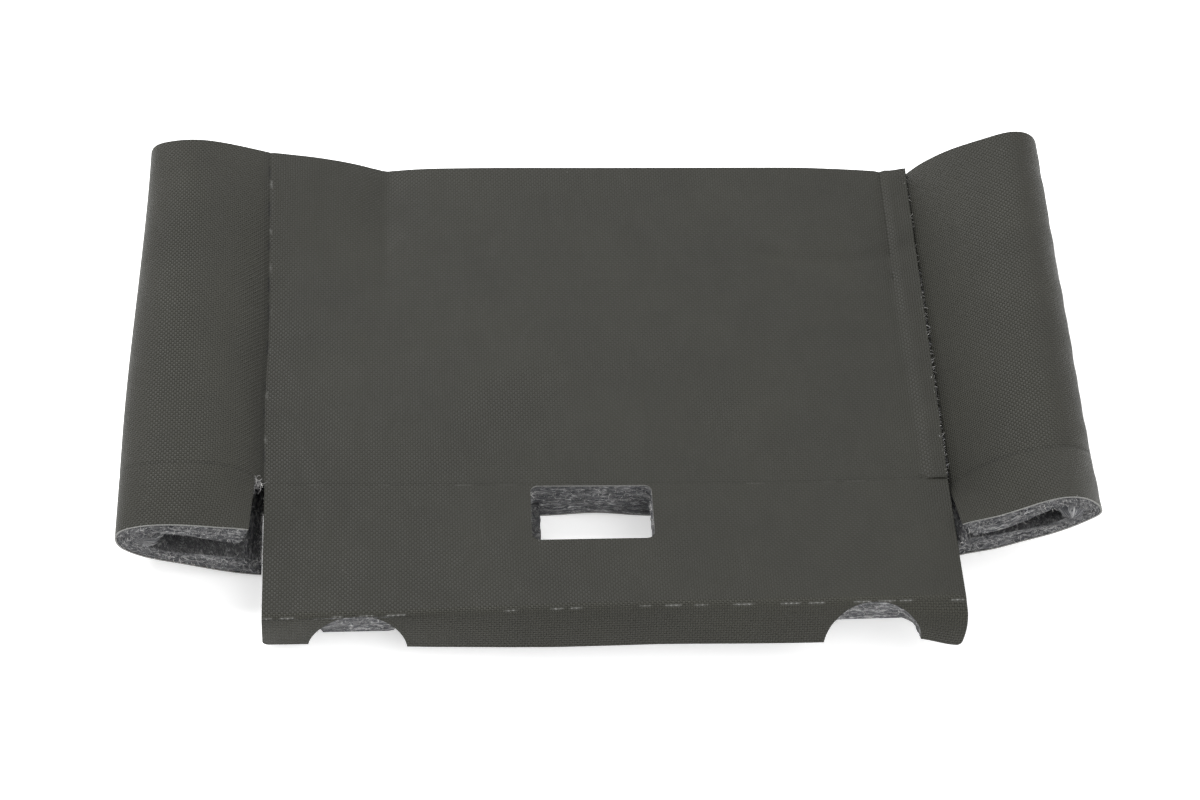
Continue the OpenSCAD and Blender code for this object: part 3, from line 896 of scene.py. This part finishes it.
def bead_place(x, y, d):
    """A glue bead spreads and thins unevenly along its run."""
    middle = (LAP[0] + LAP[1]) / 2
    return front_place(middle + (x - middle) * (1 + 0.08 * sway(y, x * 0, 18, 61)), y, d)


bead = panel("seam_glue_bead", bead_place, [round_rect(LAP[0] + 2.5, LAP[1] - 1.1, CREASE_Y + 2.5, BACK_Y - 2.5, 2)],
             SKIN + LAP_D + 0.02, SKIN + LAP_D + 0.2, 2.0, [glue_mat])
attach(bead, "front_wall")
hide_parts("seam_glue")

# ---------------------------------------------------------------- crushed felt at the middle folds
def lump(name, body, path, radii, seed, flat=0.8):
    """A crumpled roll of felt along a short path."""
    r = np.random.default_rng(seed)
    path, rings, around = np.array(path, float), 26, 30
    t = np.linspace(0, 1, rings)
    centre = np.stack([np.interp(t, np.linspace(0, 1, len(path)), path[:, i]) for i in range(3)], -1)
    forward = np.gradient(centre, axis=0)
    forward /= np.linalg.norm(forward, axis=1)[:, None]
    across = np.cross(forward, (0, 0, 1.0))
    across /= np.linalg.norm(across, axis=1)[:, None]
    upward = np.cross(across, forward)
    angle = np.linspace(0, 2 * math.pi, around, endpoint=False)
    phases = r.uniform(0, 6.28, 8)
    verts = []
    for i in range(rings):
        size = np.interp(t[i], np.linspace(0, 1, len(radii)), radii) * math.sqrt(max(0.02, 1 - (2 * t[i] - 1) ** 8))
        crumple = (1 + 0.16 * np.sin(3 * angle + phases[0] + 5 * t[i])
                   + 0.12 * np.sin(5 * angle + phases[1] - 9 * t[i])
                   + 0.07 * np.sin(9 * angle + phases[2] + 14 * t[i]) + 0.05 * r.normal(size=around))
        ring = across[i] * np.cos(angle)[:, None] + upward[i] * np.sin(angle)[:, None] * flat
        verts.append(centre[i] + ring * (size * crumple)[:, None])
    faces = [[i + j, i + (j + 1) % around, i + around + (j + 1) % around, i + around + j]
             for i in range(0, (rings - 1) * around, around) for j in range(around)]
    faces += [list(range(around))[::-1], [(rings - 1) * around + j for j in range(around)]]
    verts = np.concatenate(verts)
    spot = np.stack([verts[:, 1] * 0.6 + 900, np.arctan2(verts[:, 2] - centre[0, 2], verts[:, 0] - centre[0, 0]) * 4], -1)
    uvs = np.concatenate([spot[f] for f in faces])
    piece = finish_mesh(name, verts, faces, uvs, [0] * len(faces), [felt_cut])
    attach(piece, body)
    return piece


lump("left_fold_roll", "left_upper_dust",
     [(-138.6, CREASE_Y - 2, 20.2), (-138.0, flap_y + 8, 19.4), (-138.2, flap_y - 0.5, 19.0)],
     (3.2, 3.8, 4.4), 71, 0.92)
lump("left_fold_crumb", "left_lower_dust",
     [(-137, CREASE_Y - 8, 14.8), (-138.4, flap_y + 6, 14.2), (-138.6, flap_y - 0.3, 13.7)],
     (1.3, 1.7, 1.9), 72)
lump("right_fold_roll", "right_upper_dust",
     [(137.4, CREASE_Y - 2, 29.6), (137.8, flap_y + 8, 32.8), (137.6, flap_y - 0.5, 34.4)],
     (3.4, 4.2, 4.8), 73, 1.0)
lump("right_fold_crumb", "right_lower_dust",
     [(138.4, CREASE_Y - 8, 26.4), (138.8, flap_y + 6, 28.2), (139.2, flap_y - 0.3, 29.2)],
     (1.4, 2.0, 2.3), 74)


# ---------------------------------------------------------------- loose fibres of the cut edges
def fuzz(name, body, roots, ways, length, thick, tone, seed, curl=0.5):
    """Many bent fibres in one mesh: 4 rings of 3 points each."""
    r = np.random.default_rng(seed)
    n = len(roots)
    size = length * np.minimum(r.lognormal(0, 0.45, n), 1.9)
    ways = ways / (np.linalg.norm(ways, axis=1)[:, None] + 1e-9)
    bend_to = r.normal(size=(n, 3))
    side_a = np.cross(ways, bend_to)
    side_a /= np.linalg.norm(side_a, axis=1)[:, None] + 1e-9
    side_b = np.cross(ways, side_a)
    width = thick * r.uniform(0.6, 1.4, n)
    rings = []
    for t in (0, 0.35, 0.7, 1.0):
        centre = (roots + ways * (size * t)[:, None] + side_b * (size * curl * t * t)[:, None]
                  + side_a * (size * curl * 0.5 * math.sin(t * 3))[:, None])
        for j in range(3):
            a = 2 * math.pi * j / 3
            rings.append(centre + (side_a * math.cos(a) + side_b * math.sin(a)) * (width * (1 - 0.75 * t) / 2)[:, None])
    verts = np.stack(rings, 1).reshape(-1, 3)
    verts[:, 2] = np.maximum(verts[:, 2], 0.05)
    base = np.arange(n)[:, None] * 12
    faces = []
    for k in range(3):
        for j in range(3):
            quad = np.array([k * 3 + j, k * 3 + (j + 1) % 3, (k + 1) * 3 + (j + 1) % 3, (k + 1) * 3 + j])
            faces.append(base + quad)
    faces = np.stack(faces, 1).reshape(-1, 4).tolist()
    faces += [[b, b + 2, b + 1] for b in base[:, 0]] + [[b + 9, b + 10, b + 11] for b in base[:, 0]]
    tones = np.repeat(np.clip(r.normal(tone, 0.3, n), 0, 1), 12)
    uvs = np.zeros((sum(len(f) for f in faces), 2))
    uvs[:, 0] = np.arange(len(uvs)) * 0.37 % 50
    piece = finish_mesh(name, verts, faces, uvs, [0] * len(faces), [fibre_mat], tones, sharp=80)
    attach(piece, body)
    return piece


def edge_fuzz(name, body, place, path, out, per_mm, length, seed, depth=(0.7, 7.6), thick=0.13, tone=0.6, spread=0.8):
    """Fibres standing out of a cut edge that runs along path, in the flat."""
    r = np.random.default_rng(seed)
    p = np.array(path, float)
    run = np.concatenate([[0], np.cumsum(np.linalg.norm(np.diff(p, axis=0), axis=1))])
    n = int(run[-1] * per_mm)
    at = r.uniform(0, run[-1], n)
    u, v = np.interp(at, run, p[:, 0]), np.interp(at, run, p[:, 1])
    d = r.uniform(*depth, n)
    root = place(u - out[0] * 0.3, v - out[1] * 0.3, d)
    tipward = place(u + out[0], v + out[1], d) - root
    tipward /= np.linalg.norm(tipward, axis=1)[:, None] + 1e-9
    return fuzz(name, body, root, tipward + r.normal(size=(n, 3)) * spread, length, thick, tone, seed + 1)


edge_fuzz("seam_fuzz", "front_wall", front_place, [(HALF_W - 0.6, CREASE_Y + 1), (HALF_W - 0.6, 48)],
          (1, 0), 26, 1.0, 81, (0.4, 4.5), 0.15, 0.5)
edge_fuzz("seam_fuzz_thin", "front_wall", front_place, [(HALF_W - 0.6, 48), (HALF_W - 0.6, BACK_Y)],
          (1, 0), 1.6, 1.1, 82, (0.4, 2.0), 0.15, 0.75)
open_end = [(-HALF_W + 1, BACK_Y - 0.2), (HALF_W - 1.5, BACK_Y - 0.2)]
edge_fuzz("open_end_fuzz", "front_wall", front_place, open_end, (0, 1), 5, 1.0, 83)
edge_fuzz("open_end_fuzz_back", "back_wall", back_place, open_end, (0, 1), 5, 1.0, 84)
window_path = window_loop + window_loop[:1]
edge_fuzz("window_fuzz", "lid", lid_place, window_path, (0, 0.2), 6, 0.8, 85)
edge_fuzz("lid_left_fuzz", "lid", lid_place, [(-HALF_W + 0.8, 1), (-HALF_W + 0.8, LID_L - 1)], (-1, 0), 5, 0.9, 86)
edge_fuzz("lid_right_fuzz", "lid", lid_place, [(HALF_W - 0.8, 1), (HALF_W - 0.8, LID_L - 1)], (1, 0), 5, 0.9, 87)
for k, c in enumerate(NOTCH_X):
    bite = arc(c, NOTCH_R, NOTCH_R, -90 - 70, -90 + 70, 24)
    edge_fuzz(f"notch_fuzz_{k}", "tuck", tuck_place, bite, (0, 0.3), 7, 0.8, 90 + k)
    edge_fuzz(f"notch_lid_fuzz_{k}", "lid", lid_place, [(c - 6, LID_L - 0.2), (c + 6, LID_L - 0.2)],
              (0, 1), 9, 0.9, 94 + k)
for side, way in SIDES.items():
    for half in ("upper", "lower"):
        place = (lambda s, h: lambda u, y, d: wing_place(s, h, u, y, d))(side, half)
        length, slot_w = WING_L[side, half], SLOT[f"{side}_{half}"]
        seed = 100 + 10 * (half == "upper") + 20 * (side == "left")
        edge_fuzz(f"{side}_{half}_dust_fuzz", f"{side}_{half}_dust", place,
                  [(slot_w + 0.5, flap_y + 0.2), (length - 0.6, flap_y + 0.2)], (0, -1), 9, 1.0, seed)
        edge_fuzz(f"{side}_{half}_slot_fuzz", f"{side}_{half}_dust", place,
                  [(slot_w + 0.3, flap_y + 0.2), (slot_w + 0.3, CREASE_Y - 0.4)], (-1, 0), 8, 1.0, seed + 2)
        edge_fuzz(f"{side}_{half}_end_fuzz", f"{side}_{half}", place,
                  [(0.5, BACK_Y - 0.2), (length - 0.6, BACK_Y - 0.2)], (0, 1), 5, 1.0, seed + 4)
torn = lambda u, y, d: wing_place("left", "upper", u, y, d)
edge_fuzz("left_slot_torn", "left_upper", torn, [(0.4, CREASE_Y + 0.1), (SLOT["left_upper"], CREASE_Y + 0.1)],
          (0, -1), 45, 1.8, 140, (0.3, 4.0), 0.2, 0.6)

# ---------------------------------------------------------------- the CAD parts that the new pieces replace are hidden
for name, (piece, flat, area) in made.items():
    base = name.replace("_cover", "")
    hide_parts(f"{base}_skin")
    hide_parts(f"{base}_felt")

# ---------------------------------------------------------------- floor, light and camera
floor_mat, nodes, links, shade = material("pale_floor")
coords = nodes.new("ShaderNodeTexCoord").outputs["Object"]
links.new(ramp(nodes, links, noise(nodes, links, coords, 14, 4), (0.3, 0.88), (0.7, 0.90)), shade.inputs["Base Color"])
shade.inputs["Roughness"].default_value = 0.7
shade.inputs["Emission Color"].default_value = (1, 1, 1, 1)
shade.inputs["Emission Strength"].default_value = 0.46
mesh = bpy.data.meshes.new("floor")
reach = 6.0
mesh.from_pydata([(-reach, -reach, 0), (reach, -reach, 0), (reach, reach, 0), (-reach, reach, 0)], [], [(0, 1, 2, 3)])
mesh.materials.append(floor_mat)
floor = bpy.data.objects.new("floor", mesh)
bpy.context.collection.objects.link(floor)

world = bpy.data.worlds.new("studio")
bpy.context.scene.world = world
world.use_nodes = True
world.node_tree.nodes["Background"].inputs["Color"].default_value = (1, 1, 1, 1)
world.node_tree.nodes["Background"].inputs["Strength"].default_value = 0.85


def lamp(name, place, target, size, power):
    data = bpy.data.lights.new(name, "AREA")
    data.shape, data.size, data.energy = "DISK", size, power
    obj = bpy.data.objects.new(name, data)
    obj.location = place
    obj.rotation_euler = (Vector(target) - Vector(place)).to_track_quat("-Z", "Y").to_euler()
    bpy.context.collection.objects.link(obj)


lamp("key", (-0.5, 0.8, 1.35), (0, 0, 0), 0.7, 30)
lamp("fill", (1.0, -0.9, 1.1), (0, 0, 0), 1.6, 13)

bpy.context.scene.view_settings.view_transform = "Standard"
camera = bpy.data.objects.new("camera", bpy.data.cameras.new("camera"))
camera.location = (-0.0743, -0.6037, 0.8206)
camera.rotation_euler = [math.radians(a) for a in (36.8, -3.39, -2.45)]
camera.data.sensor_width, camera.data.lens = 36.0, 97.5
camera.data.clip_start = 0.01
bpy.context.collection.objects.link(camera)
bpy.context.scene.camera = camera
